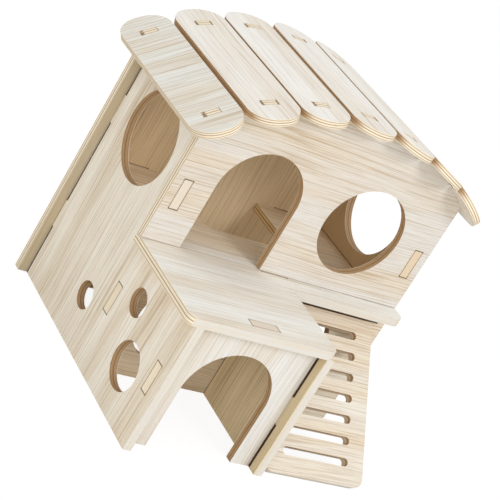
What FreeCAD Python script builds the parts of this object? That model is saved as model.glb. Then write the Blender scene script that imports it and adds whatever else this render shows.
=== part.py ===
import FreeCAD, Part
import math
import os
import Sketcher

# A small-pet house of 5 mm plywood plates that plug together without glue. The lower storey is a
# porch room in front and a back room that is open on its right. The upper storey stands on the
# deck, and its roof is a row of round-ended slats on two curved walls. A slotted ladder leans
# under the deck. x runs to the right, y to the back and z up. Places are counted from the middle
# of the house (x), the front face of the upper front wall (y) and the ground (z), and every
# body is then moved so that the origin lies under the middle of the whole house.

doc = FreeCAD.newDocument("hamster_house")

SIZES = {
    # plates and joints
    "ply": 5.0,                     # thickness of every plate but the slats
    "fit": 0.15,                    # play of a tenon in its slot, each side
    "edge_gap": 0.3,                # what a plate's edge stays short of the face it meets
    "tenon_length": 17.4,           # length of every tenon along its plate's edge
    # storeys
    "house_width": 166.0,           # over the outer faces of the side walls
    "house_depth": 92.5,            # front face of the upper front wall to back of the back wall
    "side_overhang": 5.75,          # front wall, back wall and deck beyond the side walls
    "porch_depth": 70.0,            # deck in front of the upper front wall
    "porch_width": 89.2,            # outer face of the left wall to outer face of the porch side
    "porch_setback": 7.5,           # deck's front edge to the porch front wall
    "lower_height": 77.0,           # ground to the deck's underside
    "eaves_height": 74.43,          # deck to the roof, at the side walls' outer faces
    # joints, each as the height of its lower end
    "upper_joint": 20.3,            # above the deck: side walls in the front and back walls
    "back_joint": 32.5,             # above the ground: left wall in the back wall
    "middle_joint": 34.0,           # above the ground: middle wall in its neighbours
    "porch_joint": 29.5,            # above the ground: porch front wall in its neighbours
    "middle_tenon_inset": 1.8,      # middle wall's tenons in the deck to the front door's side
                                    # and to the right wall's outer face
    "floor_tenon_inset": 14.0,      # floor tenons to the side walls' inner faces
    # upper front wall
    "front_door_left": 18.7,        # left wall's outer face to the door
    "front_door_width": 53.5,
    "front_door_spring": 39.3,      # deck to the foot of the round top
    "front_window_offset": 3.2,     # window's centre right of the middle between the door
                                    # and the right wall
    "front_window_height": 38.1,    # deck to the window's centre
    "front_window_radius": 26.75,
    # side walls
    "side_window_depth": 46.7,      # upper front wall's front face to the window's centre
    "side_window_height": 34.8,     # deck to the window's centre
    "side_window_radius": 26.2,
    "side_door_radius": 13.5,
    "side_door_gap": 8.0,           # porch front wall's back face to the round door's rim
    "side_door_height": 27.1,       # ground to its centre
    "vent_radius": 8.0,
    "back_vent_depth": 25.8,        # upper front wall's front face to the vent of the back room
    "back_vent_height": 27.9,       # ground to its centre
    "porch_vent_reach": 18.8,       # upper front wall's front face forward to the porch vent
    "porch_vent_height": 55.0,      # ground to its centre
    # doors of the lower storey
    "porch_door_width": 54.8,       # in the middle of the porch front wall
    "porch_door_head": 13.0,        # wood above the door's round top
    "passage_radius": 26.2,         # round way between the porch room and the back room
    "passage_drop": 0.6,            # its centre below the middle of the wall's height
    "middle_door_gap": 5.3,         # porch side's outer face to the door
    "middle_door_width": 47.0,
    "middle_door_head": 7.5,        # wood above the door's round top
    # deck
    "strip_depth": 12.7,            # deck in front of the upper front wall, right of the porch
    "porch_corner": 5.5,            # radius of the porch's two front corners
    "strip_corner": 7.0,            # radius of the strip's corner
    "stair_left": 52.5,             # left wall's outer face to the hole in the floor
    "stair_width": 63.2,
    "stair_front": 34.7,            # upper front wall's front face to the hole
    "stair_corner": 7.5,            # radius of the hole's corners
    # roof
    "slat_ply": 4.0,                # thickness of the roof's slats
    "roof_radius": 173.8,           # circle that the slats' upper faces touch
    "roof_front": 15.25,            # slats beyond the upper front wall
    "roof_back": 13.9,              # slats beyond the back wall
    "slat_count": 7,
    "slat_gap": 1.33,               # between two slats, at their undersides
    "slat_end_flat": 2.0,           # straight part of a slat's rounded end
    "slat_play": 1.25,              # roof tab in its slot, each side along the arch
    "tab_width": 7.5,               # roof tab along the arch
    "outer_slat_inset": 2.77,       # row of slats, ends on the circle this far inside the walls
    "outer_slat_droop": 5.5,        # outermost slats are steeper than the circle by this angle
    "seat_width": 12.0,             # flat that the arch has under each slat
    "slat_shift_1": -0.9,           # where each slat lies in its play, along the arch
    "slat_shift_2": -0.3,
    "slat_shift_3": -0.9,
    "slat_shift_4": 0.3,
    "slat_shift_5": 0.9,
    "slat_shift_6": 0.3,
    "slat_shift_7": 0.0,
    # ladder
    "ladder_lean": 46.5,            # degrees from the ground
    "ladder_width": 68.9,
    "ladder_side_gap": 1.2,         # between the porch side and the ladder
    "ladder_wall_gap": 0.35,        # between the ladder's top and the middle wall
    "ladder_top_drop": 5.6,         # ladder's top below the deck's underside
    "ladder_corner": 5.5,           # radius of the ladder's two lower corners
    "rung_count": 7,                # finger-wide slots that make the steps
    "rung_slot_height": 4.4,
    "rung_foot_margin": 12.7,       # ladder's foot to the middle of the lowest slot
    "rung_top_margin": 10.4,        # middle of the highest slot to the ladder's top
    "ladder_stile": 11.4,           # wood left at each end of the slots
}
SHIFT_COUNT = 7

sheet = doc.addObject("Spreadsheet::Sheet", "Sizes")
for row, (alias, number) in enumerate(SIZES.items(), start=1):
    sheet.set(f"A{row}", alias)
    sheet.set(f"B{row}", str(number))
    sheet.setAlias(f"B{row}", alias)
doc.recompute()


class Size:
    """A size that knows its number and the expression that ties it to the sheet."""

    def __init__(self, number, text):
        self.number = number
        self.text = text

    def __add__(self, other):
        other = as_size(other)
        return Size(self.number + other.number, f"({self.text} + {other.text})")

    def __sub__(self, other):
        other = as_size(other)
        return Size(self.number - other.number, f"({self.text} - {other.text})")

    def __mul__(self, other):
        other = as_size(other)
        return Size(self.number * other.number, f"({self.text} * {other.text})")

    def __truediv__(self, other):
        other = as_size(other)
        return Size(self.number / other.number, f"({self.text} / {other.text})")

    def __neg__(self):
        return as_size(0) - self


def as_size(value):
    """A bare number as a size."""
    return value if isinstance(value, Size) else Size(float(value), str(value))


def size(alias):
    """The size that a cell of the sheet holds."""
    return Size(float(sheet.get(alias)), f"{sheet.Name}.{alias}")


def root(value):
    return Size(math.sqrt(value.number), f"sqrt({value.text})")


def sine(angle):
    return Size(math.sin(math.radians(angle.number)), f"sin({angle.text})")


def cosine(angle):
    return Size(math.cos(math.radians(angle.number)), f"cos({angle.text})")


def tangent(angle):
    return Size(math.tan(math.radians(angle.number)), f"tan({angle.text})")


def arc_sine(ratio):
    return Size(math.degrees(math.asin(ratio.number)), f"(asin({ratio.text}) / 1 deg)")


# ---- sketches ------------------------------------------------------------------------------

ORIGIN_POINT = (-1, 1)


def point(x, y):
    return FreeCAD.Vector(x.number, y.number, 0)


def pin(sketch, kind, where, value):
    """Adds a dimension to a sketch and ties it to the sheet."""
    index = sketch.addConstraint(Sketcher.Constraint(kind, *where, value.number))
    sketch.setExpression(f"Constraints[{index}]", value.text)


def pin_point(sketch, geometry, position, x, y):
    """Places a point of a sketch by its two distances from the sketch's origin."""
    pin(sketch, "DistanceX", (*ORIGIN_POINT, geometry, position), x)
    pin(sketch, "DistanceY", (*ORIGIN_POINT, geometry, position), y)


def link(sketch, kind, *where):
    sketch.addConstraint(Sketcher.Constraint(kind, *where))


def draw_polygon(sketch, corners):
    """A closed outline of straight lines through the given corners."""
    count = len(corners)
    for start, end in zip(corners, corners[1:] + corners[:1]):
        sketch.addGeometry(Part.LineSegment(point(*start), point(*end)), False)
    for line, corner in enumerate(corners):
        link(sketch, "Coincident", line, 2, (line + 1) % count, 1)
        pin_point(sketch, line, 1, *corner)


def draw_rectangle(sketch, x0, y0, x1, y1):
    draw_polygon(sketch, [(x0, y0), (x1, y0), (x1, y1), (x0, y1)])


def draw_circle(sketch, x, y, radius):
    circle = Part.Circle(point(x, y), FreeCAD.Vector(0, 0, 1), radius.number)
    sketch.addGeometry(circle, False)
    pin_point(sketch, 0, 3, x, y)
    pin(sketch, "Radius", (0,), radius)


def draw_arc(sketch, x, y, radius, start, end):
    """An arc from one angle to another in degrees; gives its number in the sketch."""
    circle = Part.Circle(point(x, y), FreeCAD.Vector(0, 0, 1), radius.number)
    arc = Part.ArcOfCircle(circle, math.radians(start), math.radians(end))
    return sketch.addGeometry(arc, False)


def draw_line(sketch, x0, y0, x1, y1):
    return sketch.addGeometry(Part.LineSegment(point(x0, y0), point(x1, y1)), False)


def draw_doorway(sketch, left, width, foot, spring):
    """A doorway with upright sides and a half-round top."""
    radius = width / 2
    middle = left + radius
    right = left + width
    top = draw_arc(sketch, middle, spring, radius, 0, 180)
    left_side = draw_line(sketch, left, spring, left, foot)
    threshold = draw_line(sketch, left, foot, right, foot)
    right_side = draw_line(sketch, right, foot, right, spring)
    link(sketch, "Tangent", top, 2, left_side, 1)
    link(sketch, "Coincident", left_side, 2, threshold, 1)
    link(sketch, "Coincident", threshold, 2, right_side, 1)
    link(sketch, "Tangent", right_side, 2, top, 1)
    link(sketch, "Horizontal", threshold)
    link(sketch, "Vertical", left_side)
    pin_point(sketch, top, 3, middle, spring)
    pin(sketch, "Radius", (top,), radius)
    pin(sketch, "DistanceY", (*ORIGIN_POINT, threshold, 1), foot)


def draw_long_hole(sketch, middle_x, middle_y, length, height):
    """A hole with two straight sides along x and half-round ends."""
    radius = height / 2
    left = middle_x - length / 2 + radius
    right = middle_x + length / 2 - radius
    upper = middle_y + radius
    lower = middle_y - radius
    right_end = draw_arc(sketch, right, middle_y, radius, -90, 90)
    top = draw_line(sketch, right, upper, left, upper)
    left_end = draw_arc(sketch, left, middle_y, radius, 90, 270)
    bottom = draw_line(sketch, left, lower, right, lower)
    link(sketch, "Tangent", right_end, 2, top, 1)
    link(sketch, "Tangent", top, 2, left_end, 1)
    link(sketch, "Tangent", left_end, 2, bottom, 1)
    link(sketch, "Tangent", bottom, 2, right_end, 1)
    link(sketch, "Horizontal", top)
    pin_point(sketch, right_end, 3, right, middle_y)
    pin(sketch, "DistanceX", (*ORIGIN_POINT, left_end, 3), left)
    pin(sketch, "Radius", (right_end,), radius)


def draw_arched_wall(sketch, half_width, foot, radius):
    """A wall with upright sides and a round top about the sketch's origin."""
    corner = root(radius * radius - half_width * half_width)
    corner_angle = math.degrees(math.atan2(corner.number, half_width.number))
    top = draw_arc(sketch, ZERO, ZERO, radius, corner_angle, 180 - corner_angle)
    left_side = draw_line(sketch, -half_width, corner, -half_width, foot)
    base = draw_line(sketch, -half_width, foot, half_width, foot)
    right_side = draw_line(sketch, half_width, foot, half_width, corner)
    link(sketch, "Coincident", top, 3, *ORIGIN_POINT)
    link(sketch, "Coincident", top, 2, left_side, 1)
    link(sketch, "Coincident", left_side, 2, base, 1)
    link(sketch, "Coincident", base, 2, right_side, 1)
    link(sketch, "Coincident", right_side, 2, top, 1)
    link(sketch, "Vertical", left_side)
    link(sketch, "Vertical", right_side)
    pin(sketch, "Radius", (top,), radius)
    pin_point(sketch, base, 1, -half_width, foot)
    pin_point(sketch, base, 2, half_width, foot)


# ---- plates --------------------------------------------------------------------------------


class Plate:
    """One sheet of plywood: a body whose sketches all lie on one of its origin planes.

    The wood grows from that plane towards +x, +y or +z. The xz plane's own side is the front,
    so there the wood grows against it.
    """

    def __init__(self, name, plane, position, axis=(0, 0, 1), angle=None, thickness=None):
        self.body = doc.addObject("PartDesign::Body", name)
        self.body.Label = name
        self.plane = self.origin_feature(plane)
        self.against_plane = plane == "XZ_Plane"
        self.thickness = thickness or ply
        turn = angle or ZERO
        x, y, z = position
        where = f"vector({(x - middle_x).text}; {(y - middle_y).text}; {z.text})"
        turned = f"rotation(vector({axis[0]}; {axis[1]}; {axis[2]}); {turn.text})"
        self.body.setExpression("Placement", f"placement({where}; {turned})")

    def origin_feature(self, role):
        return next(item for item in self.body.Origin.OriginFeatures if item.Role == role)

    def sketch(self, name):
        sketch = self.body.newObject("Sketcher::SketchObject", f"{self.body.Name}_{name}")
        sketch.AttachmentSupport = [(self.plane, "")]
        sketch.MapMode = "FlatFace"
        return sketch

    def settle(self, feature, volume_before, grows):
        """Rebuilds the body and makes sure that the feature changed the wood as it should."""
        self.body.Tip = feature
        doc.recompute()
        gain = self.body.Shape.Volume - volume_before
        if gain == 0 or (gain > 0) != grows:
            raise RuntimeError(f"{feature.Name} leaves the plate as it was")
        return feature

    def volume(self):
        return self.body.Shape.Volume if self.body.Tip else 0.0

    def add(self, sketch):
        """Adds wood of the plate's thickness in the sketch's outline."""
        before = self.volume()
        pad = self.body.newObject("PartDesign::Pad", f"{sketch.Name}_wood")
        pad.Profile = sketch
        pad.setExpression("Length", self.thickness.text)
        pad.Reversed = self.against_plane
        return self.settle(pad, before, grows=True)

    def cut(self, sketch):
        """Cuts the sketch's outline right through the plate."""
        before = self.volume()
        pocket = self.body.newObject("PartDesign::Pocket", f"{sketch.Name}_cut")
        pocket.Profile = sketch
        pocket.Type = "ThroughAll"
        pocket.Reversed = not self.against_plane
        return self.settle(pocket, before, grows=False)

    def repeat(self, kind, feature, axis, reach, count, grows):
        """Repeats a feature along or about one of the body's axes, over a length or an angle."""
        before = self.volume()
        pattern = self.body.newObject(f"PartDesign::{kind}", f"{feature.Name}_row")
        pattern.Originals = [feature]
        setattr(pattern, "Axis" if kind == "PolarPattern" else "Direction",
                (self.origin_feature(axis), [""]))
        pattern.setExpression("Angle" if kind == "PolarPattern" else "Length", reach.text)
        pattern.setExpression("Occurrences", count.text)
        return self.settle(pattern, before, grows)

    def outline(self, corners):
        sketch = self.sketch("outline")
        draw_polygon(sketch, corners)
        return self.add(sketch)

    def tenon(self, name, x0, y0, x1, y1):
        sketch = self.sketch(name)
        draw_rectangle(sketch, x0, y0, x1, y1)
        return self.add(sketch)

    def slot(self, name, x0, y0, x1, y1):
        """A slot for a tenon of the given outline, with the tenon's play all round."""
        sketch = self.sketch(name)
        draw_rectangle(sketch, x0 - fit, y0 - fit, x1 + fit, y1 + fit)
        return self.cut(sketch)

    def round_hole(self, name, x, y, radius):
        sketch = self.sketch(name)
        draw_circle(sketch, x, y, radius)
        return self.cut(sketch)

    def doorway(self, name, left, width, foot, spring):
        sketch = self.sketch(name)
        draw_doorway(sketch, left, width, foot, spring)
        return self.cut(sketch)

    def round_corners(self, feature, corners, radius):
        """Rounds the edges that run through the plate at the given corners of an xy plate."""
        before = self.volume()
        names = []
        for number, edge in enumerate(feature.Shape.Edges, start=1):
            ends = [vertex.Point for vertex in edge.Vertexes]
            for x, y in corners:
                corner = point(x, y)
                if all(math.hypot(end.x - corner.x, end.y - corner.y) < 1e-4 for end in ends):
                    names.append(f"Edge{number}")
        if len(names) != len(corners):
            raise RuntimeError(f"{self.body.Name}: a corner to round is missing")
        fillet = self.body.newObject("PartDesign::Fillet", f"{feature.Name}_round{len(names)}")
        fillet.Base = (feature, names)
        fillet.setExpression("Radius", radius.text)
        self.body.Tip = fillet
        doc.recompute()
        if self.body.Shape.Volume == before:
            raise RuntimeError(f"{fillet.Name} rounds nothing")
        return fillet


# ---- places that several plates share ------------------------------------------------------

ZERO = as_size(0)
ply = size("ply")
fit = size("fit")
edge_gap = size("edge_gap")
tenon_length = size("tenon_length")
porch_depth = size("porch_depth")
lower_height = size("lower_height")
house_depth = size("house_depth")

left_outer = -(size("house_width") / 2)
left_inner = left_outer + ply
right_outer = size("house_width") / 2
right_inner = right_outer - ply
wall_half = right_outer + size("side_overhang")
back_inner = house_depth - ply
deck_top = lower_height + ply
porch_front = -porch_depth
porch_wall_front = porch_front + size("porch_setback")
porch_wall_back = porch_wall_front + ply
porch_side_right = left_outer + size("porch_width")
porch_side_left = porch_side_right - ply

upper_joint = deck_top + size("upper_joint")
back_joint = size("back_joint")
middle_joint = size("middle_joint")
porch_joint = size("porch_joint")

front_door_left = left_outer + size("front_door_left")
front_door_right = front_door_left + size("front_door_width")
porch_middle = (left_inner + porch_side_left) / 2
porch_tenon = porch_middle - tenon_length / 2
middle_tenons = [
    front_door_right + size("middle_tenon_inset"),
    right_outer - size("middle_tenon_inset") - tenon_length,
]
floor_tenons = [
    left_inner + size("floor_tenon_inset"),
    right_inner - size("floor_tenon_inset") - tenon_length,
]

# The roof: the slats' undersides touch the seat circle. Only the outermost slats droop: each
# hinges on the joint with its neighbour and is steeper than the circle there, so its underside
# passes the circle's centre at less than the circle's radius. The centre's height follows from
# the eaves.
slat_ply = size("slat_ply")
seat_radius = size("roof_radius") - slat_ply
last_slat_angle = arc_sine((wall_half - size("outer_slat_inset")) / seat_radius)
slat_steps = size("slat_count") - 1
slat_angle = last_slat_angle * 2 / slat_steps
slat_pitch = seat_radius * tangent(slat_angle / 2) * 2
slat_width = slat_pitch - size("slat_gap")
inner_slat_angle = last_slat_angle - slat_angle
outer_slat_angle = last_slat_angle + size("outer_slat_droop")
joint_radius = seat_radius / cosine(slat_angle / 2)
joint_turn = slat_angle / 2 + size("outer_slat_droop")
outer_seat = joint_radius * cosine(joint_turn)
outer_joint = -(joint_radius * sine(joint_turn))
outer_middle = outer_joint + slat_pitch / 2
roof_centre = deck_top + size("eaves_height") - (
    (outer_seat - right_outer * sine(outer_slat_angle)) / cosine(outer_slat_angle)
)
side_wall_top = deck_top + size("eaves_height") - edge_gap
slat_front = -size("roof_front")
slat_back = house_depth + size("roof_back")


def slat_shift(number):
    """How far slat 1, 2, 3 and so on lies off the middle of its play, along the arch."""
    return size(f"slat_shift_{(number - 1) % SHIFT_COUNT + 1}")


slat_count = int(size("slat_count").number)
outer_shifts = slat_shift(1) + slat_shift(slat_count)
middle_x = outer_shifts / 2 * cosine(outer_slat_angle)
middle_y = (slat_back + porch_front) / 2


# ---- the plates one by one -----------------------------------------------------------------


def draw_roof_step(plate, name, angle, left, foot, right, top):
    """A sketch with a rectangle that is upright where the roof's circle has the given angle."""
    sketch = plate.sketch(name)
    draw_rectangle(sketch, left, foot, right, top)
    sketch.setExpression("AttachmentOffset.Rotation.Angle", angle.text)
    return sketch


def make_roof_edge(plate):
    """Flats on a wall's round top for the slats, and a tab through each of them."""
    half_seat = size("seat_width") / 2
    half_tab = size("tab_width") / 2
    flat = plate.cut(draw_roof_step(
        plate, "seat", inner_slat_angle, -half_seat, seat_radius, half_seat, seat_radius + ply
    ))
    inner_count = size("slat_count") - 2
    reach = inner_slat_angle * 2
    plate.repeat("PolarPattern", flat, "Y_Axis", reach, inner_count, grows=False)
    plate.cut(draw_roof_step(
        plate, "left_seat", outer_slat_angle, -outer_joint - slat_pitch, outer_seat,
        -outer_joint, outer_seat + ply
    ))
    plate.cut(draw_roof_step(
        plate, "right_seat", -outer_slat_angle, outer_joint, outer_seat,
        outer_joint + slat_pitch, outer_seat + ply
    ))
    tab = plate.add(draw_roof_step(
        plate, "tab", inner_slat_angle, -half_tab, seat_radius - ply, half_tab,
        seat_radius + slat_ply
    ))
    plate.repeat("PolarPattern", tab, "Y_Axis", reach, inner_count, grows=True)
    plate.add(draw_roof_step(
        plate, "left_tab", outer_slat_angle, -outer_middle - half_tab, outer_seat - ply,
        half_tab - outer_middle, outer_seat + slat_ply
    ))
    plate.add(draw_roof_step(
        plate, "right_tab", -outer_slat_angle, outer_middle - half_tab, outer_seat - ply,
        outer_middle + half_tab, outer_seat + slat_ply
    ))


def make_arched_plate(name, front, foot):
    """A full-width wall with a round top; its sketches are centred on the roof's circle."""
    plate = Plate(name, "XZ_Plane", (ZERO, front, roof_centre))
    half_seat = size("seat_width") / 2
    top_radius = root(seat_radius * seat_radius + half_seat * half_seat)
    sketch = plate.sketch("outline")
    draw_arched_wall(sketch, wall_half, foot - roof_centre, top_radius)
    plate.add(sketch)
    make_roof_edge(plate)
    return plate


def make_back_wall():
    plate = make_arched_plate("back_wall", back_inner, ZERO)
    upper = upper_joint - roof_centre
    lower = back_joint - roof_centre
    floor = lower_height - roof_centre
    plate.slot("left_upper", left_outer, upper, left_inner, upper + tenon_length)
    plate.slot("left_lower", left_outer, lower, left_inner, lower + tenon_length)
    plate.slot("right_upper", right_inner, upper, right_outer, upper + tenon_length)
    for number, left in enumerate(floor_tenons, start=1):
        plate.slot(f"floor_{number}", left, floor, left + tenon_length, floor + ply)


def make_upper_front_wall():
    foot = deck_top + edge_gap
    plate = make_arched_plate("upper_front_wall", ZERO, foot)
    upper = upper_joint - roof_centre
    deck_level = deck_top - roof_centre
    plate.slot("left_upper", left_outer, upper, left_inner, upper + tenon_length)
    plate.slot("right_upper", right_inner, upper, right_outer, upper + tenon_length)
    plate.doorway("door", front_door_left, size("front_door_width"), deck_level,
                  deck_level + size("front_door_spring"))
    window_x = (front_door_right + right_inner) / 2 + size("front_window_offset")
    plate.round_hole("window", window_x, deck_level + size("front_window_height"),
                     size("front_window_radius"))


def cut_side_window(plate):
    plate.round_hole("window", size("side_window_depth"),
                     deck_top + size("side_window_height"), size("side_window_radius"))


def make_left_wall():
    """The left wall: low beside the porch and full height behind the upper front wall."""
    plate = Plate("left_wall", "YZ_Plane", (left_outer, ZERO, ZERO))
    back_edge = back_inner - edge_gap
    tall_front = ply + edge_gap
    plate.outline([
        (porch_front, ZERO), (back_edge, ZERO), (back_edge, side_wall_top),
        (tall_front, side_wall_top), (tall_front, lower_height), (porch_front, lower_height),
    ])
    plate.tenon("front_tenon", ZERO, upper_joint, tall_front, upper_joint + tenon_length)
    plate.tenon("back_upper_tenon", back_edge, upper_joint, house_depth,
                upper_joint + tenon_length)
    plate.tenon("back_lower_tenon", back_edge, back_joint, house_depth,
                back_joint + tenon_length)
    plate.slot("middle_slot", ZERO, middle_joint, ply, middle_joint + tenon_length)
    plate.slot("porch_slot", porch_wall_front, porch_joint, porch_wall_back,
               porch_joint + tenon_length)
    cut_side_window(plate)
    side_door_y = porch_wall_back + size("side_door_gap") + size("side_door_radius")
    plate.round_hole("side_door", side_door_y, size("side_door_height"),
                     size("side_door_radius"))
    plate.round_hole("porch_vent", -size("porch_vent_reach"), size("porch_vent_height"),
                     size("vent_radius"))
    plate.round_hole("back_vent", size("back_vent_depth"), size("back_vent_height"),
                     size("vent_radius"))


def make_right_wall():
    """The right wall: the upper storey only, standing on the deck."""
    plate = Plate("right_wall", "YZ_Plane", (right_inner, ZERO, ZERO))
    back_edge = back_inner - edge_gap
    front_edge = ply + edge_gap
    plate.outline([
        (front_edge, deck_top), (back_edge, deck_top),
        (back_edge, side_wall_top), (front_edge, side_wall_top),
    ])
    plate.tenon("front_tenon", ZERO, upper_joint, front_edge, upper_joint + tenon_length)
    plate.tenon("back_tenon", back_edge, upper_joint, house_depth, upper_joint + tenon_length)
    cut_side_window(plate)


def make_deck():
    """Porch roof, strip and upper floor in one plate, with a hole for the way up."""
    plate = Plate("deck", "XY_Plane", (ZERO, ZERO, lower_height))
    back_edge = back_inner - edge_gap
    floor_left = left_inner + edge_gap
    strip_front = -size("strip_depth")
    stair_left = left_outer + size("stair_left")
    stair_right = stair_left + size("stair_width")
    stair_front = size("stair_front")
    wood = plate.outline([
        (-wall_half, porch_front), (porch_side_right, porch_front),
        (porch_side_right, strip_front), (wall_half, strip_front), (wall_half, back_edge),
        (stair_right, back_edge), (stair_right, stair_front), (stair_left, stair_front),
        (stair_left, back_edge), (floor_left, back_edge), (floor_left, ply), (-wall_half, ply),
    ])
    porch_corners = [(-wall_half, porch_front), (porch_side_right, porch_front)]
    wood = plate.round_corners(wood, porch_corners, size("porch_corner"))
    wood = plate.round_corners(wood, [(wall_half, strip_front)], size("strip_corner"))
    stair_corners = [(stair_right, stair_front), (stair_left, stair_front)]
    plate.round_corners(wood, stair_corners, size("stair_corner"))
    for number, left in enumerate(floor_tenons, start=1):
        plate.tenon(f"floor_tenon_{number}", left, back_edge, left + tenon_length, house_depth)
    plate.slot("porch_slot", porch_tenon, porch_wall_front, porch_tenon + tenon_length,
               porch_wall_back)
    for number, left in enumerate(middle_tenons, start=1):
        plate.slot(f"middle_slot_{number}", left, ZERO, left + tenon_length, ply)


def make_porch_front_wall():
    """The lower front wall, set back under the porch between the left wall and the porch side."""
    plate = Plate("lower_front_wall", "XZ_Plane", (ZERO, porch_wall_front, ZERO))
    left = left_inner + edge_gap
    right = porch_side_left - edge_gap
    joint_top = porch_joint + tenon_length
    plate.outline([(left, ZERO), (right, ZERO), (right, lower_height), (left, lower_height)])
    plate.tenon("left_tenon", left_outer, porch_joint, left, joint_top)
    plate.tenon("right_tenon", right, porch_joint, porch_side_right, joint_top)
    plate.tenon("top_tenon", porch_tenon, lower_height, porch_tenon + tenon_length, deck_top)
    door_width = size("porch_door_width")
    spring = lower_height - size("porch_door_head") - door_width / 2
    plate.doorway("door", porch_middle - door_width / 2, door_width, ZERO, spring)


def make_porch_side_wall():
    """The porch room's right side, from the porch's front edge to the middle wall."""
    plate = Plate("lower_side_wall", "YZ_Plane", (porch_side_left, ZERO, ZERO))
    back_edge = -edge_gap
    plate.outline([
        (porch_front, ZERO), (back_edge, ZERO),
        (back_edge, lower_height), (porch_front, lower_height),
    ])
    plate.tenon("back_tenon", back_edge, middle_joint, ply, middle_joint + tenon_length)
    plate.slot("porch_slot", porch_wall_front, porch_joint, porch_wall_back,
               porch_joint + tenon_length)


def make_middle_wall():
    """The wall under the upper front wall, between the porch room and the back room."""
    plate = Plate("mid_wall", "XZ_Plane", (ZERO, ZERO, ZERO))
    left = left_inner + edge_gap
    joint_top = middle_joint + tenon_length
    plate.outline([
        (left, ZERO), (wall_half, ZERO), (wall_half, lower_height), (left, lower_height),
    ])
    plate.tenon("left_tenon", left_outer, middle_joint, left, joint_top)
    for number, tenon_left in enumerate(middle_tenons, start=1):
        plate.tenon(f"deck_tenon_{number}", tenon_left, lower_height,
                    tenon_left + tenon_length, deck_top)
    plate.slot("porch_side_slot", porch_side_left, middle_joint, porch_side_right, joint_top)
    plate.round_hole("passage", (left_inner + porch_side_left) / 2,
                     lower_height / 2 - size("passage_drop"), size("passage_radius"))
    door_width = size("middle_door_width")
    spring = lower_height - size("middle_door_head") - door_width / 2
    plate.doorway("door", porch_side_right + size("middle_door_gap"), door_width, ZERO, spring)


def make_roof_slat(number):
    """One slat: a round-ended board on the arch, with a slot for each wall's tab."""
    angle = slat_angle * (number - 1) - last_slat_angle
    seat = seat_radius
    along = slat_shift(number)
    if number in (1, slat_count):
        side = -1 if number == 1 else 1
        angle = outer_slat_angle * side
        seat = outer_seat
        along = along + outer_middle * side
    x = seat * sine(angle) + along * cosine(angle)
    z = roof_centre + seat * cosine(angle) - along * sine(angle)
    plate = Plate(f"roof_slat_{number}", "XY_Plane", (x, ZERO, z), (0, 1, 0), angle, slat_ply)
    half = slat_width / 2
    corners = [(-half, slat_front), (half, slat_front), (half, slat_back), (-half, slat_back)]
    wood = plate.outline(corners)
    plate.round_corners(wood, corners, half - size("slat_end_flat") / 2)
    half_slot = size("tab_width") / 2 + size("slat_play") - fit
    plate.slot("front_slot", -half_slot, ZERO, half_slot, ply)
    plate.slot("back_slot", -half_slot, back_inner, half_slot, house_depth)


def make_ladder():
    """The ladder: a plate with a row of slots, leaning on the middle wall below the deck."""
    lean = size("ladder_lean")
    width = size("ladder_width")
    top = lower_height - size("ladder_top_drop")
    length = (top - ply * cosine(lean)) / sine(lean)
    left = porch_side_right + size("ladder_side_gap")
    foot = -size("ladder_wall_gap") - length * cosine(lean)
    plate = Plate("ladder", "XY_Plane", (left, foot, ZERO), (1, 0, 0), lean)
    wood = plate.outline([(ZERO, ZERO), (width, ZERO), (width, length), (ZERO, length)])
    plate.round_corners(wood, [(ZERO, ZERO), (width, ZERO)], size("ladder_corner"))
    margin = size("rung_foot_margin")
    sketch = plate.sketch("rung_slot")
    draw_long_hole(sketch, width / 2, margin, width - size("ladder_stile") * 2,
                   size("rung_slot_height"))
    slot = plate.cut(sketch)
    reach = length - margin - size("rung_top_margin")
    plate.repeat("LinearPattern", slot, "Y_Axis", reach, size("rung_count"), grows=False)


make_back_wall()
make_left_wall()
make_right_wall()
make_upper_front_wall()
make_deck()
make_porch_front_wall()
make_porch_side_wall()
make_middle_wall()
make_ladder()
for slat_number in range(1, slat_count + 1):
    make_roof_slat(slat_number)

# ---- checks and files ----------------------------------------------------------------------

doc.recompute()
for item in doc.Objects:
    if "Invalid" in item.State or "Error" in item.State:
        raise RuntimeError(f"{item.Name} could not be built")

bodies = [item for item in doc.Objects if item.TypeId == "PartDesign::Body"]
for body in bodies:
    if body.Shape.isNull() or not body.Shape.isValid() or len(body.Shape.Solids) != 1:
        raise RuntimeError(f"{body.Label} is not one sound solid")

os.makedirs("parts", exist_ok=True)
for body in bodies:
    body.Shape.exportStep(f"parts/{body.Label}.step")
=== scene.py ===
from math import cos, radians, sin

import bpy
from mathutils import Matrix, Vector


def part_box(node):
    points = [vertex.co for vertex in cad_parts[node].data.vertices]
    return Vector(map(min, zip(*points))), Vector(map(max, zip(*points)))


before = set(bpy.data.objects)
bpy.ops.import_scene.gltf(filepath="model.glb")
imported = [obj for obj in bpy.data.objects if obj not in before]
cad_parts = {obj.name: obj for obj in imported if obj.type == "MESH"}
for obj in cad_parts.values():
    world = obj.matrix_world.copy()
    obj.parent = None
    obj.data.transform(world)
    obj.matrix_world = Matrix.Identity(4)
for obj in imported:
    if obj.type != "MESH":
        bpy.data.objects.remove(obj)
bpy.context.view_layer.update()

# ---- Side walls ----
# Two sheets of 5 mm poplar plywood with pale ash faces, grain upright, cut out by laser. The
# left one reaches the ground and the right one stands on the deck. Their tenons pass through
# the front and back walls.


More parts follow.
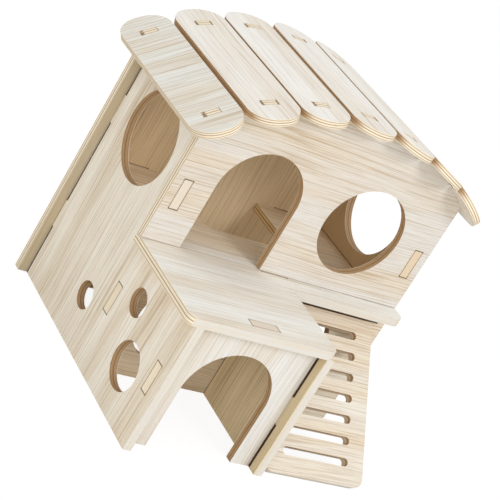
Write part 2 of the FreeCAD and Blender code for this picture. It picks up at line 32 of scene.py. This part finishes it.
class Wire:
    """A socket of a finish. Sums, products and so on of wires add the Math nodes they need."""

    def __init__(self, finish, socket):
        self.finish = finish
        self.socket = socket

    def math(self, operation, *values):
        return self.finish.node("Math", {"operation": operation}, dict(enumerate(values)))

    def __add__(self, other):
        return self.math("ADD", self, other)

    def __sub__(self, other):
        return self.math("SUBTRACT", self, other)

    def __mul__(self, other):
        return self.math("MULTIPLY", self, other)

    def __rsub__(self, other):
        return self.math("SUBTRACT", other, self)

    def __abs__(self):
        return self.math("ABSOLUTE", self)

    def __lt__(self, other):
        return self.math("LESS_THAN", self, other)

    __radd__ = __add__
    __rmul__ = __mul__

    def least(self, other):
        return self.math("MINIMUM", self, other)

    def most(self, other):
        return self.math("MAXIMUM", self, other)

    def ramp(self, start, end):
        """0 up to start, 1 from end on, and a smooth rise between them."""
        return self.finish.node(
            "MapRange", {"interpolation_type": "SMOOTHSTEP"}, {0: self, 1: start, 2: end}
        )


class Finish:
    """The nodes of a material, which its owner holds, or of the air around the table."""

    def __init__(self, owner):
        owner.use_nodes = True
        self.tree = owner.node_tree
        self.tree.nodes.clear()

    def node(self, kind, settings, sockets, output=0):
        """A node with its settings made first and its sockets set or linked after that."""
        made = self.tree.nodes.new("ShaderNode" + kind)
        for key, value in settings.items():
            setattr(made, key, value)
        for key, value in sockets.items():
            if isinstance(value, Wire):
                self.tree.links.new(value.socket, made.inputs[key])
            else:
                made.inputs[key].default_value = value
        return Wire(self, made.outputs[output]) if made.outputs else None

    def dot(self, vector, direction):
        return self.node("VectorMath", {"operation": "DOT_PRODUCT"},
                         {0: vector, 1: direction}, "Value")

    def noise(self, x, y, z, detail, roughness=0.5):
        """Cloudy noise, 0 to 1, whose x, y and z are given in lumps instead of lengths."""
        where = self.node("CombineXYZ", {}, {0: x, 1: y, 2: z})
        return self.node("TexNoise", {}, {
            "Vector": where, "Scale": 1.0, "Detail": detail, "Roughness": roughness,
        })

    def blend(self, mask, first, second):
        """The first colour where the mask is 0 and the second one where it is 1."""
        mask_in, first_in, second_in, colour_out = 0, 6, 7, 2
        sockets = {mask_in: mask, first_in: first, second_in: second}
        return self.node("Mix", {"data_type": "RGBA"}, sockets, colour_out)


def paint(red, green, blue):
    """A colour given in sRGB's 0 to 255 steps, made linear for the shader."""
    parts = []
    for step in (red, green, blue):
        part = step / 255
        parts.append(part / 12.92 if part <= 0.04045 else ((part + 0.055) / 1.055) ** 2.4)
    return (*parts, 1.0)


PALE = paint(232, 228, 220)
STRAW = paint(222, 204, 176)
FIBRE = paint(180, 152, 114)
REVERSE = paint(240, 216, 178)
CORE = paint(245, 232, 208)
# painted shade on the rims of holes and on the shaded flanks of slats
EDGE_SHADE = paint(188, 154, 114)
# the plywood's glue line, and painted shade in seams where parts meet
GLUE_AND_SEAM_SHADE = paint(132, 98, 62)
# laser char, and round the slots also painted shade of the gap round each tenon
SINGE_AND_GAP_SHADE = paint(150, 114, 76)
# painted shade in narrow gaps: at the tenons' ends and where parts meet
GAP_SHADE = paint(62, 44, 30)
# a pale colour with no glue line, painted as the light on edges that face the front
LIT_FRONT_EDGE = paint(222, 218, 210)
TENON = paint(224, 214, 200)

LENGTHWISE = Vector((1, 0, 0))
DEEP = Vector((0, 1, 0))
UPRIGHT = Vector((0, 0, 1))
MM = 1000.0  # of them in a metre


def within(finish, place, box):
    """1 inside the upright box between two corners in mm, and 0 outside."""
    low, high = box
    inside = 1.0
    for axis, direction in enumerate((LENGTHWISE, DEEP, UPRIGHT)):
        centre = (low[axis] + high[axis]) / 2
        half_size = (high[axis] - low[axis]) / 2
        reach = abs(finish.dot(place, direction * MM) - centre)
        inside = (reach < half_size) * inside
    return inside


def plywood(name, grain, through, foot, thick=5.0, seed=0, streaks=1.0, pale=PALE, back=REVERSE,
            flank=CORE, cutout_shade=EDGE_SHADE, reverse=0, slots=(), cutouts=(), plain=(), indoor_shade=(),
            shade_boxes=()):
    """
    Plywood, all lengths in mm. The grain runs along one direction and the sheet's thickness
    along another, where it starts at the foot.

    Faces: slow waves bend the lanes across the grain, and noise stretched along it gives zones,
    lines, threads and short pores. The reverse is the side, +1 or -1 along the thickness, that
    has the browner veneer. Inside each indoor shade box both sides get that brown as painted
    shade, by the box's strength. Each slot, a middle and its half sizes along and across the
    grain, has a dark outline, laser char and painted shade of the gap round its tenon, with
    darker painted shade at its ends.

    Cut edges: two light veneers, a dark glue line at half thickness and singed lines inside
    pale arrises. Those that face the house's sides have the flank's colour, which is painted
    shade on the roof's inner slats. Inside a cutout's box they have painted shade, the browner
    colour of a hole's rim. Inside a plain box they have no glue line and the box's colour: a
    pale one painted as the light on edges that face the front, or a tenon end's own colour.

    Each shade box paints shade: a box, the dark colour of the shade in a gap between parts or
    on a shaded margin, and its strength.
    """
    material = bpy.data.materials.new(name)
    finish = Finish(material)
    place = finish.node("TexCoord", {}, {}, "Object")
    normal = finish.node("NewGeometry", {}, {}, "Normal")
    sideways = through.cross(grain)
    along = finish.dot(place, grain * MM)
    across = finish.dot(place, sideways * MM)
    depth = finish.dot(place, through * MM) - foot
    facing = finish.dot(normal, through)
    steepest_face = 0.6
    on_edge = abs(facing) < steepest_face

    # the grain of the faces, by lumps per mm along and across it, in lanes that wander
    wander = 8
    lane = across + finish.noise(along * 0.008, across * 0.010, seed, 1.0) * wander
    zone = finish.noise(along * 0.004, lane * 0.055, seed + 3, 1.0).ramp(0.36, 0.64)
    line = finish.noise(along * 0.012, lane * 1.0, seed + 7, 2.0, 0.6).ramp(0.50, 0.63)
    thread = finish.noise(along * 0.022, lane * 2.2, seed + 11, 1.0).ramp(0.46, 0.64)
    pore = finish.noise(along * 0.11, lane * 2.4, seed + 17, 1.0).ramp(0.58, 0.72)
    wood = finish.blend(zone * 0.50 * streaks, pale, STRAW)
    wood = finish.blend(line * (zone * 0.35 + 0.28) * streaks, wood, FIBRE)
    wood = finish.blend((thread * 0.30 + pore * 0.18) * streaks, wood, FIBRE)
    brown = finish.blend(line * 0.40 + thread * 0.35, back, FIBRE)
    if reverse:
        wood = finish.blend((facing * reverse).ramp(0.5, 0.9), wood, brown)
    # painted shade: the brown indoors, inside each box by its strength
    for box, strength in indoor_shade:
        wood = finish.blend(within(finish, place, box) * strength, wood, brown)

    # outlines, a little outside the slots' rims: laser char and painted shade of the gap round
    # each tenon
    rim_to_outline = 0.2
    for middle, half_along, half_across in slots:
        beside = abs(along - Vector(middle).dot(grain)) - half_along
        above = abs(across - Vector(middle).dot(sideways)) - half_across
        outline = 1 - abs(beside.most(above) - rim_to_outline).ramp(0.15, 0.60)
        wood = finish.blend(outline * 0.9, wood, SINGE_AND_GAP_SHADE)
        # painted shade of the clearance gap at the tenon's ends
        ends = (beside if half_along > half_across else above).ramp(-0.8, -0.1)
        wood = finish.blend(outline * ends * 0.8, wood, GAP_SHADE)

    # cut edges, from the glue line in the middle out to the singed lines and the arrises
    face_to_singe = 0.6
    waver = (finish.noise(along * 0.05, across * 0.05, seed, 2.0) - 0.5) * 0.5
    from_middle = abs(depth - thick / 2 + waver)
    glue = 1 - from_middle.ramp(thick * 0.02, thick * 0.10)
    from_face = depth.least(thick - depth)
    singe = 1 - abs(from_face - face_to_singe).ramp(0.10, 0.40)
    arris = 1 - from_face.ramp(0.30, 0.50)
    cloud = finish.noise(along * 0.25, across * 0.25, depth * 1.4 + seed, 3.0, 0.6)
    sidelong = 1 - abs(finish.dot(normal, DEEP)).ramp(0.3, 0.8)
    # sideways edges get the flank's colour, and inside cutouts painted shade of the holes' rims
    veneer = CORE if flank == CORE else finish.blend(sidelong, CORE, flank)
    for box in cutouts:
        veneer = finish.blend(within(finish, place, box), veneer, cutout_shade)
    side = finish.blend(cloud.ramp(0.4, 0.75) * 0.3, veneer, STRAW)
    side = finish.blend(glue * 0.8, side, GLUE_AND_SEAM_SHADE)
    side = finish.blend(singe * 0.7, side, SINGE_AND_GAP_SHADE)
    side = finish.blend(arris * 0.7, side, CORE)
    streak = finish.noise(along * 0.02, depth * 0.9, across * 0.02 + seed, 2.0).ramp(0.42, 0.68)
    # plain boxes: pale front edges are painted light, tenon ends keep their own colour
    for box, face in plain:
        face = finish.blend(streak * 0.5, face, STRAW)
        side = finish.blend(within(finish, place, box), side, face)

    colour = finish.blend(on_edge, wood, side)
    # painted shade in gaps between parts and on shaded margins
    for box, dark, strength in shade_boxes:
        colour = finish.blend(within(finish, place, box) * strength, colour, dark)
    pore_depth = 0.3 / MM
    bump = finish.node("Bump", {}, {
        "Strength": 0.25, "Distance": pore_depth, "Height": 1 - (pore * 0.6 + line * 0.4),
    })
    shader = finish.node("BsdfPrincipled", {}, {
        "Base Color": colour, "Roughness": pore * 0.12 + 0.6, "Normal": bump,
        "Specular IOR Level": 0.25,
    })
    finish.node("OutputMaterial", {}, {"Surface": shader})
    return material


def dress(node, material):
    """Gives a CAD node its finish in place of the plain one."""
    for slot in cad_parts[node].material_slots:
        slot.material = material


# the middles of the plates and of their joints, and half sizes of a tenon, in mm
half_ply = 2.5
half_tenon = 8.7
left_x = -80.12
right_x = 80.88
house_front_y = -15.7
porch_front_y = -78.2
upper_joint_z = 111.0
middle_joint_z = 42.7
porch_joint_z = 38.2

left_window = ((-90, 1, 90), (-70, 56, 144))
side_door = ((-90, -69, 13), (-70, -40, 42))
porch_vent = ((-90, -46, 46), (-70, -28, 64))
back_vent = ((-90, -1.5, 19), (-70, 17, 37))
left_front_edge = ((-83, -89, -1), (-77, -87, 78))
left_tenon_end = ((-83, -19, 101), (-77, -18, 121))
seam_heights = ((0, 32.3), (50, 102), (120, 160))  # between the tenons in the back wall
# painted shade in the gap along the left wall's back edge, between the tenons
left_back_seams = [((-83, 68.0, foot), (-82, 69.3, head)) for foot, head in seam_heights]
dress("left_wall", plywood(
    "left_wall_ash", UPRIGHT, LENGTHWISE, left_x - half_ply, seed=1, pale=paint(248, 243, 231),
    reverse=1, cutouts=(left_window, side_door, porch_vent, back_vent),
    slots=(
        ((left_x, house_front_y, middle_joint_z), half_tenon, half_ply),
        ((left_x, porch_front_y, porch_joint_z), half_tenon, half_ply),
    ),
    plain=((left_front_edge, LIT_FRONT_EDGE), (left_tenon_end, TENON)),
    shade_boxes=[(seam, GAP_SHADE, 0.95) for seam in left_back_seams],
))

right_window = ((70, 1, 90), (90, 56, 144))
right_tenon_end = ((78, -19, 101), (84, -18, 121))
# painted shade in the seams where the right wall meets the deck and the back wall
floor_seam = ((78, -14, 81.9), (78.6, 70, 82.7))
right_back_seam = ((78, 68.3, 82), (78.6, 69.2, 160))
dress("right_wall", plywood(
    "right_wall_ash", UPRIGHT, LENGTHWISE, right_x - half_ply, seed=2,
    back=paint(206, 178, 138), reverse=-1, cutouts=(right_window,),
    plain=((right_tenon_end, STRAW),),
    shade_boxes=((floor_seam, GLUE_AND_SEAM_SHADE, 0.85), (right_back_seam, GLUE_AND_SEAM_SHADE, 0.85)),
))

# ---- Back wall ----
# One tall plywood sheet behind both storeys, grain upright, with a round top for the roof.
# Slots take the tenons of the side walls and of the deck.

SHADE = paint(188, 170, 136)

back_y = 71.8
deck_z = 79.5
back_joint_z = 41.2
floor_tenons_x = (-54.92, 55.68)
# painted shade: the front face is brown inside the house, and the margins outside the side
# walls are darkened
shaded_room_side = ((-77.7, 69.2, 0), (78.5, 69.4, 190))
left_margin = ((-90, 69.2, 0), (-82.6, 69.4, 190))
right_margin = ((83.4, 69.2, 0), (90, 69.4, 190))
dress("back_wall", plywood(
    "back_wall_ash", UPRIGHT, DEEP, back_y - half_ply, seed=4, pale=paint(230, 221, 202),
    indoor_shade=((shaded_room_side, 1.0),),
    shade_boxes=((left_margin, SHADE, 0.7), (right_margin, SHADE, 0.7)),
    slots=[
        ((left_x, back_y, upper_joint_z), half_tenon, half_ply),
        ((left_x, back_y, back_joint_z), half_tenon, half_ply),
        ((right_x, back_y, upper_joint_z), half_tenon, half_ply),
        *(((x, back_y, deck_z), half_ply, half_tenon) for x in floor_tenons_x),
    ],
))

# ---- Upper front wall ----
# Plywood with its grain lying, round on top, with an arched door and a round window. It stands
# on the deck and the roof's tabs are part of it.

front_door = ((-65, -20, 81), (-9, -12, 149))
front_window = ((10, -20, 93), (65, -12, 148))
# painted shade in the seam where the wall stands on the deck, beside the door
seam_left_of_door = ((-90, -19, 81.9), (-63.5, -18, 82.4))
seam_right_of_door = ((-10.5, -19, 81.9), (90, -18, 82.4))
dress("upper_front_wall", plywood(
    "front_wall_ash", LENGTHWISE, DEEP, house_front_y - half_ply, seed=6,
    pale=paint(224, 221, 216), reverse=1, cutouts=(front_door, front_window),
    slots=[
        ((x, house_front_y, upper_joint_z), half_ply, half_tenon) for x in (left_x, right_x)
    ],
    shade_boxes=((seam_left_of_door, GLUE_AND_SEAM_SHADE, 0.85), (seam_right_of_door, GLUE_AND_SEAM_SHADE, 0.85)),
))

# ---- Deck ----
# One plywood sheet is the porch's roof, the strip in front of the house and the upper floor,
# grain lying, with a hole at the back for the way up. It gets browner further indoors, as
# painted shade.

# painted shade, warm, on the rim of the stair hole
HATCH_SHADE = paint(236, 202, 150)

porch_middle_x = -38.02
house_middle_x = 0.08
stair_hole = ((-31, 15, 70), (34, 71, 90))
porch_edge = ((-88, -89, 76), (9, -87.5, 83))
strip_edge = ((8, -32, 76), (100, -30.2, 83))
# painted shade: the floor indoors gets browner in steps from the door
floor_shade_steps = [((-77.7, y, 81.5), (78.5, 69.4, 82.5)) for y in (-13.3, -8, -2, 6, 16)]
dress("deck", plywood(
    "deck_ash", LENGTHWISE, UPRIGHT, deck_z - half_ply, seed=8, streaks=0.80,
    pale=paint(242, 243, 240), back=paint(255, 230, 192), cutout_shade=HATCH_SHADE, reverse=-1,
    cutouts=(stair_hole,),
    slots=(
        ((porch_middle_x, porch_front_y, deck_z), half_tenon, half_ply),
        ((house_middle_x, house_front_y, deck_z), half_tenon, half_ply),
    ),
    plain=((porch_edge, LIT_FRONT_EDGE), (strip_edge, LIT_FRONT_EDGE)),
    indoor_shade=[(floor, 0.2) for floor in floor_shade_steps],
))

# ---- Lower walls ----
# Plywood: the porch's front and side, grain upright, and the middle wall behind them, grain
# lying, with a round passage. Two of them have an arched door and tenons up through the deck.

porch_door = ((-68, -82, -1), (-8, -70, 66))
porch_tenon_end = ((-84, -82, 29), (-82, -74, 47.5))
porch_tenon_top = ((-48, -82, 81), (-28, -74, 83))
dress("lower_front_wall", plywood(
    "porch_front_ash", UPRIGHT, DEEP, porch_front_y - half_ply, seed=10, streaks=0.65,
    pale=paint(232, 233, 232), reverse=1, cutouts=(porch_door,),
    plain=((porch_tenon_end, CORE), (porch_tenon_top, TENON)),
))

porch_side_x = 4.08
side_front_edge = ((1, -89, -1), (7, -87, 78))
# painted shade: the margin in front of the porch's front wall is brown and darkened, and the
# seams where the porch side meets the front and middle walls are dark
porch_margin = ((1, -89, -1), (1.7, -80.7, 77.1))
shaded_margin = ((1, -87.5, -1), (1.7, -80.7, 77.1))
low_seam = ((1, -82.3, 0.5), (2, -80.6, 29))
high_seam = ((1, -82.3, 47.5), (2, -80.6, 76.8))
corner_seam = ((1, -19, 0), (2, -18, 77))
dress("lower_side_wall", plywood(
    "porch_side_ash", UPRIGHT, LENGTHWISE, porch_side_x - half_ply, seed=12,
    back=paint(255, 238, 200), reverse=-1,
    slots=(((porch_side_x, porch_front_y, porch_joint_z), half_tenon, half_ply),),
    plain=((side_front_edge, LIT_FRONT_EDGE),), indoor_shade=((porch_margin, 1.0),),
    shade_boxes=(
        (shaded_margin, SHADE, 0.7), (low_seam, GAP_SHADE, 1.0), (high_seam, GAP_SHADE, 1.0),
        (corner_seam, GLUE_AND_SEAM_SHADE, 0.85),
    ),
))

middle_door = ((9, -20, -1), (62, -12, 70))
passage = ((-65, -20, 11), (-11, -12, 65))
middle_tenon_end = ((-84, -19, 33), (-82, -12, 52))
middle_tenon_tops = ((-10, -19, 81), (83, -12, 83))
# painted shade: the wall's face in the porch room is browner, and a dark band lies under the
# deck's strip above the ladder
porch_room_face = ((-78, -18.3, -1), (1.6, -18.1, 77.5))
ladder_seam = ((7, -18.3, 69.6), (84, -18.1, 71.4))
# the wall's pale face colour is lightened as painted light, against the shade of the deck's
# strip and the ladder
dress("mid_wall", plywood(
    "middle_wall_ash", LENGTHWISE, DEEP, house_front_y - half_ply, seed=14,
    pale=paint(250, 243, 230), reverse=1, cutouts=(middle_door, passage),
    slots=(((porch_side_x, house_front_y, middle_joint_z), half_ply, half_tenon),),
    plain=((middle_tenon_end, CORE), (middle_tenon_tops, TENON)),
    indoor_shade=((porch_room_face, 0.55),), shade_boxes=((ladder_seam, GAP_SHADE, 0.85),),
))

# ---- Ladder ----
# One plywood sheet, grain lying, cut out by seven long slots that leave the rungs. It is loose
# and leans on the middle wall below the deck's strip.

lean = radians(46.5)
ladder_low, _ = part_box("ladder")
ladder_out = Vector((0, -sin(lean), cos(lean)))
ladder_foot = ladder_out.y * ladder_low[1] * MM
ladder_slots = ((12, -82, 4), (74, -18.6, 70.5))
ladder_foot_edge = ((7, -87, -1), (77, -82, 3.6))
dress("ladder", plywood(
    "ladder_ash", LENGTHWISE, ladder_out, ladder_foot, seed=16, pale=paint(227, 222, 212),
    cutouts=(ladder_slots,), plain=((ladder_foot_edge, LIT_FRONT_EDGE),),
))

# ---- Roof ----
# Seven plywood slats with round ends lie on the walls' round tops, each with two slots for the
# walls' tabs. They are thinner than the walls, and the outermost ones are steeper. The left one
# has its grain across and more marked than the others.

slat_count = 7
middle_slat = 4
slat_ply = 4.0
slat_turn = 10.14  # degrees from one slat to the next
outer_slat_turn = 35.92
for number in range(1, slat_count + 1):
    name = f"roof_slat_{number}"
    angle = radians((number - middle_slat) * slat_turn)
    if number in (1, slat_count):
        angle = radians(-outer_slat_turn if number == 1 else outer_slat_turn)
    slat_out = Vector((sin(angle), 0, cos(angle)))
    top = max(point.co.dot(slat_out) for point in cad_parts[name].data.vertices) * MM
    # the inner slats' flanks get painted shade from the gaps between slats
    looks = {"streaks": 0.6, "pale": paint(244, 242, 237), "flank": EDGE_SHADE}
    slat_grain = DEEP
    if number == 1:
        looks = {"pale": paint(235, 236, 231)}
        slat_grain = Vector((cos(angle), 0, -sin(angle)))
    dress(name, plywood(
        name + "_ash", slat_grain, slat_out, top - slat_ply, slat_ply, seed=20 + 3 * number,
        **looks
    ))

# ---- Table and light ----
# A white table and a white surround, with soft even light and four broad lamps. The table is
# white to the camera, apart from the house's shadow.

half_table = 3.0  # metres
table_mesh = bpy.data.meshes.new("table_top")
table_mesh.from_pydata([
    (-half_table, -half_table, 0), (half_table, -half_table, 0),
    (half_table, half_table, 0), (-half_table, half_table, 0),
], [], [(0, 1, 2, 3)])
table = bpy.data.objects.new("table_top", table_mesh)
bpy.context.scene.collection.objects.link(table)

WHITE = (1, 1, 1, 1)
shadow_grey = (0.15, 0.15, 0.15, 1)
table_white = bpy.data.materials.new("table_white")
cloth = Finish(table_white)
seen = cloth.node("LightPath", {}, {}, "Is Camera Ray")
matt = cloth.node("BsdfDiffuse", {}, {"Color": paint(225, 222, 216)})
grey = cloth.node("BsdfDiffuse", {}, {"Color": shadow_grey})
glow = cloth.node("Emission", {}, {"Color": WHITE, "Strength": 0.90})
faint = cloth.node("AddShader", {}, {0: grey, 1: glow})
shown = cloth.node("MixShader", {}, {0: seen, 1: matt, 2: faint})
cloth.node("OutputMaterial", {}, {"Surface": shown})
table_mesh.materials.append(table_white)

studio = bpy.data.worlds.new("studio")
bpy.context.scene.world = studio
air = Finish(studio)
straight = air.node("LightPath", {}, {}, "Is Camera Ray")
mirrored = air.node("LightPath", {}, {}, "Is Glossy Ray")
soft = air.node("Background", {}, {"Color": (1, 0.995, 0.985, 1), "Strength": 0.70})
backdrop = air.node("Background", {}, {"Color": WHITE, "Strength": 1.0})
either = air.node("MixShader", {}, {0: straight.most(mirrored), 1: soft, 2: backdrop})
air.node("OutputWorld", {}, {"Surface": either})

# each lamp's place and the side of its square in metres, and its power in watts
lamp_aim = Vector((0, 0, 0.08))
for name, spot, size, power in (
    ("main_lamp", (0.42, -1.25, 0.92), 0.5, 6.5),
    ("front_lamp", (-0.90, -1.25, 0.55), 1.2, 5.0),
    ("side_lamp", (-1.40, -0.60, 0.40), 1.2, 3.0),
    ("top_lamp", (0.10, -0.30, 1.60), 1.2, 2.5),
):
    lamp_data = bpy.data.lights.new(name, "AREA")
    lamp_data.shape = "SQUARE"
    lamp_data.size = size
    lamp_data.energy = power
    lamp = bpy.data.objects.new(name, lamp_data)
    bpy.context.scene.collection.objects.link(lamp)
    lamp.location = spot
    lamp.rotation_mode = "QUATERNION"
    lamp.rotation_quaternion = (lamp_aim - Vector(spot)).to_track_quat("-Z", "Y")

# ---- Camera ----
# A long lens to the left of the house and a little above it, rolled to the left. Its focal
# length is given in pixels of a square picture.

picture_side = 500
focal_length = 1771.2
sensor_width = 36.0
camera_place = Vector((-0.57610, -0.70431, 0.41085))
to_right = Vector((0.78852, -0.38115, 0.48265))
to_top = Vector((-0.23441, 0.53928, 0.80884))
to_back = Vector((-0.56858, -0.75093, 0.33589))
camera_data = bpy.data.cameras.new("camera")
camera_data.sensor_width = sensor_width
camera_data.lens = focal_length / picture_side * sensor_width
camera_data.shift_x = 0.0782
camera_data.shift_y = -0.0661
camera_data.clip_start = 0.05
camera = bpy.data.objects.new("camera", camera_data)
bpy.context.scene.collection.objects.link(camera)
turn = Matrix((to_right, to_top, to_back)).transposed().to_4x4()
camera.matrix_world = Matrix.Translation(camera_place) @ turn
bpy.context.scene.camera = camera

bpy.context.scene.view_settings.view_transform = "Standard"
